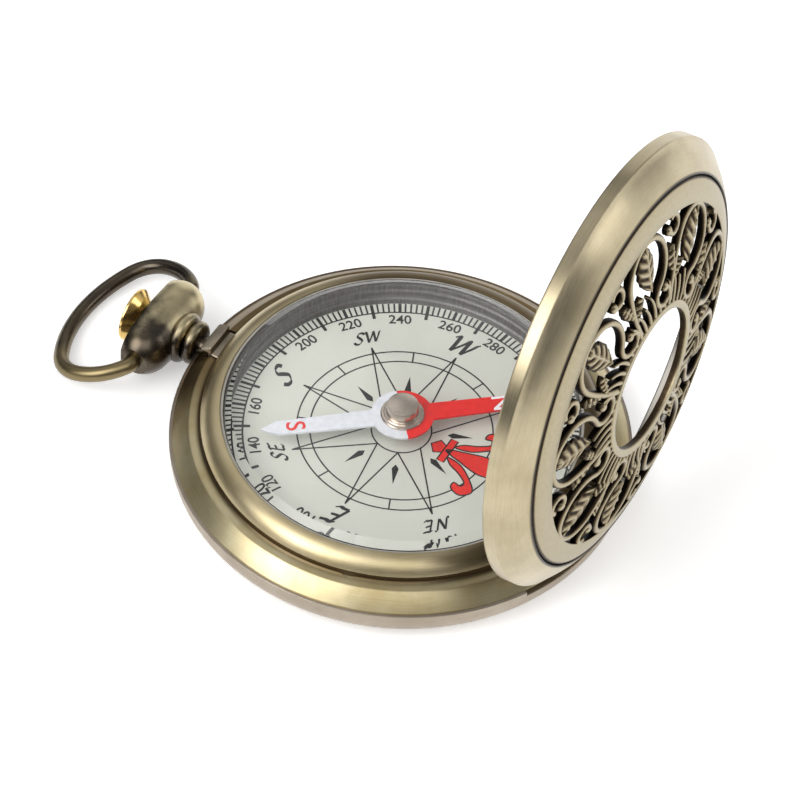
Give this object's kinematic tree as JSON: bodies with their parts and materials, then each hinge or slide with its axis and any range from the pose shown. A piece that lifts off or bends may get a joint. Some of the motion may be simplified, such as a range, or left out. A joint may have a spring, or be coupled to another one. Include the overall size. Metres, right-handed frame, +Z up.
{
  "type": "pocket compass",
  "caption": "Pocket compass in an antique bronze watch-style case with a pierced leaf-scroll hinged lid, printed rose dial, red and white needle, push button and bow",
  "frame": {"origin": "centre of the flat underside of the case back, on the table plane", "axes": "+Z up out of the dial, +Y from the middle towards the pendant, hinge on the -Y side, +X to the right seen from above with the pendant up"},
  "size_m": [0.0474, 0.0663, 0.0523],
  "materials": {
    "back_bronze": "brushed antique bronze, greyed at the rim",
    "band_bronze": "brushed antique bronze",
    "bezel_bronze": "polished antique bronze",
    "lid_bronze": "circular brushed antique bronze",
    "plate_bronze": "bronze with blackened recesses",
    "dark_bronze": "dark gunmetal bronze, semi-gloss",
    "polished_gold": "polished",
    "pivot_brass": "machined",
    "clear_glass": "clear, domed, bevelled edge",
    "jewel_glass": "polished cup",
    "black_rubber": "matt",
    "grey_plastic": "satin grey with fine turned lines",
    "black_plastic": "moulded",
    "dial_card": "printed matt cream",
    "needle_paint": "one arm red, the other white",
    "hub_nickel": "turned nickel",
    "catch_steel": "brushed",
    "spring_steel": "bright"
  },
  "bodies": {
    "case": {"case_back": "back_bronze", "case_band": "band_bronze", "bezel": "bezel_bronze", "crystal_gasket": "black_rubber", "crystal": "clear_glass", "rehaut_ring": "grey_plastic", "dial": "dial_card", "movement_ring": "black_plastic", "pivot_post": "pivot_brass", "pivot_pin": "spring_steel", "pendant": "dark_bronze", "hinge_pin": "spring_steel", "lock_spring": "spring_steel", "lift_spring": "spring_steel", "spring_screws": "spring_steel"},
    "lid": {"lid_rim": "lid_bronze", "pierced_plate": "plate_bronze"},
    "needle_set": {"needle": "needle_paint", "needle_hub": "hub_nickel", "needle_jewel": "jewel_glass"},
    "button": {"push_button": "polished_gold", "button_stem": "spring_steel"},
    "catch_tooth": {"catch": "catch_steel"},
    "bow_loop": {"bow": "dark_bronze"}
  },
  "joints": [
    {"name": "lid_hinge", "type": "hinge", "parent": "case", "child": "lid", "pos_m": [0, -0.02273, 0.00607], "axis": [1, 0, 0], "range_deg": [-87.4, 0], "stiffness_Nm_per_rad": 0.006, "springref_deg": 20.05, "deforming": ["lift_spring"]},
    {"name": "needle_spin", "type": "hinge", "parent": "case", "child": "needle_set", "pos_m": [0, 0, 0.007], "axis": [0, 0, 1], "continuous": true},
    {"name": "button_push", "type": "slide", "parent": "case", "child": "button", "axis": [0, -1, 0], "range_m": [0, 0.0008], "stiffness_N_per_m": 500, "springref_m": -0.0012},
    {"name": "catch_slide", "type": "slide", "parent": "case", "child": "catch_tooth", "axis": [0, -1, 0], "range_m": [0, 0.0008], "deforming": ["lock_spring"]},
    {"name": "bow_pivot", "type": "hinge", "parent": "case", "child": "bow_loop", "pos_m": [0, 0.0287, 0.0042], "axis": [1, 0, 0], "range_deg": [-80, 130]}
  ],
  "couplings": [
    {"joint": "catch_slide", "follows": "button_push", "ratio": 1}
  ]
}
